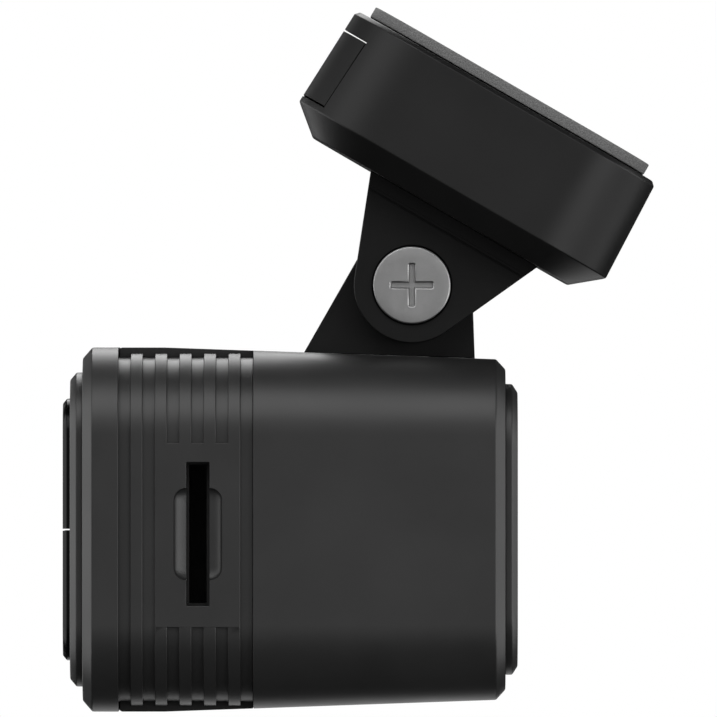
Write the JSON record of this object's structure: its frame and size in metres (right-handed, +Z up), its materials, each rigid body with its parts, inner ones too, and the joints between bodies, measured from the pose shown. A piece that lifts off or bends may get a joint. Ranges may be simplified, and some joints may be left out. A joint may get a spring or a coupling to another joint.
{
  "type": "dash camera",
  "caption": "Compact square dash camera with ribbed vent band and card slot, hung by a tilting hinge under a stick-on quick-release windshield mount.",
  "frame": {"origin": "centre of the adhesive pad's outer face, the face that sticks to the windshield", "axes": "+X forwards, the way the lens looks; +Y to the side away from the memory card slot; +Z up, with the camera level and the pad leaning forward by 30 degrees"},
  "size_m": [0.0509, 0.0314, 0.0606],
  "materials": {
    "shell_plastic": "satin",
    "trim_plastic": "satin",
    "mount_plastic": "satin",
    "hinge_plastic": "matte",
    "grille_plastic": "matte",
    "foam_adhesive": "matte",
    "plate_plastic": "matte",
    "satin_screw": "satin",
    "steel": "satin",
    "zinc_washer": "satin",
    "brass": "polished",
    "cover_glass": "polished",
    "lens_glass": "polished",
    "barrel_plastic": "matte",
    "circuit_board": "satin",
    "chip_plastic": "matte",
    "thermal_rubber": "matte",
    "aluminium": "satin",
    "capacitor_sleeve": "satin",
    "copper_flex": "satin",
    "white_nylon": "matte"
  },
  "bodies": {
    "mount": {"adhesive_pad": "foam_adhesive", "windshield_plate": "plate_plastic", "mount_housing": "mount_plastic", "hinge_fork": "hinge_plastic", "near_fork_screw": "steel", "far_fork_screw": "steel", "hinge_screw": "satin_screw", "hinge_nut": "steel", "near_friction_washer": "zinc_washer", "far_friction_washer": "zinc_washer", "near_release_spring": "steel", "far_release_spring": "steel"},
    "release": {"release_button": "mount_plastic"},
    "camera": {"hinge_bracket": "hinge_plastic", "hinge_bush": "brass", "bracket_screw_1": "steel", "bracket_screw_2": "steel", "front_shell": "shell_plastic", "rear_shell": "shell_plastic", "top_vent_grille": "grille_plastic", "bottom_vent_grille": "grille_plastic", "rear_bezel": "trim_plastic", "front_bezel": "trim_plastic", "cover_glass": "cover_glass", "lens_shroud": "barrel_plastic", "lens_barrel": "barrel_plastic", "lens_holder": "barrel_plastic", "front_lens": "lens_glass", "middle_lens": "lens_glass", "rear_lens": "lens_glass", "infrared_filter": "lens_glass", "image_sensor": "chip_plastic", "sensor_board": "circuit_board", "main_board": "circuit_board", "processor": "chip_plastic", "thermal_pad": "thermal_rubber", "heat_spreader": "aluminium", "memory_chip": "chip_plastic", "card_socket": "chip_plastic", "usb_socket": "steel", "upper_capacitor": "capacitor_sleeve", "lower_capacitor": "capacitor_sleeve", "speaker": "chip_plastic", "microphone": "steel", "wifi_antenna": "copper_flex", "sensor_ribbon": "copper_flex", "button_board": "circuit_board", "board_connector": "white_nylon", "upper_switch": "chip_plastic", "lower_switch": "chip_plastic", "case_screw_1": "steel", "case_screw_2": "steel", "case_screw_3": "steel", "case_screw_4": "steel"},
    "upper_push": {"upper_button": "trim_plastic", "upper_switch_plunger": "white_nylon"},
    "lower_push": {"lower_button": "trim_plastic", "lower_switch_plunger": "white_nylon"}
  },
  "joints": [
    {"name": "camera_tilt", "type": "hinge", "parent": "mount", "child": "camera", "pos_m": [-0.00865, 0, -0.01713], "axis": [0, 1, 0], "range_deg": [-40, 60]},
    {"name": "release_press", "type": "slide", "parent": "mount", "child": "release", "axis": [0.866, 0, -0.5], "range_m": [0, 0.0012], "stiffness_N_per_m": 600, "springref_m": -0.001, "deforming": ["near_release_spring", "far_release_spring"]},
    {"name": "upper_button_press", "type": "slide", "parent": "camera", "child": "upper_push", "axis": [1, 0, 0], "range_m": [0, 0.00035], "stiffness_N_per_m": 2000, "springref_m": -0.0002},
    {"name": "lower_button_press", "type": "slide", "parent": "camera", "child": "lower_push", "axis": [1, 0, 0], "range_m": [0, 0.00035], "stiffness_N_per_m": 2000, "springref_m": -0.0002}
  ]
}
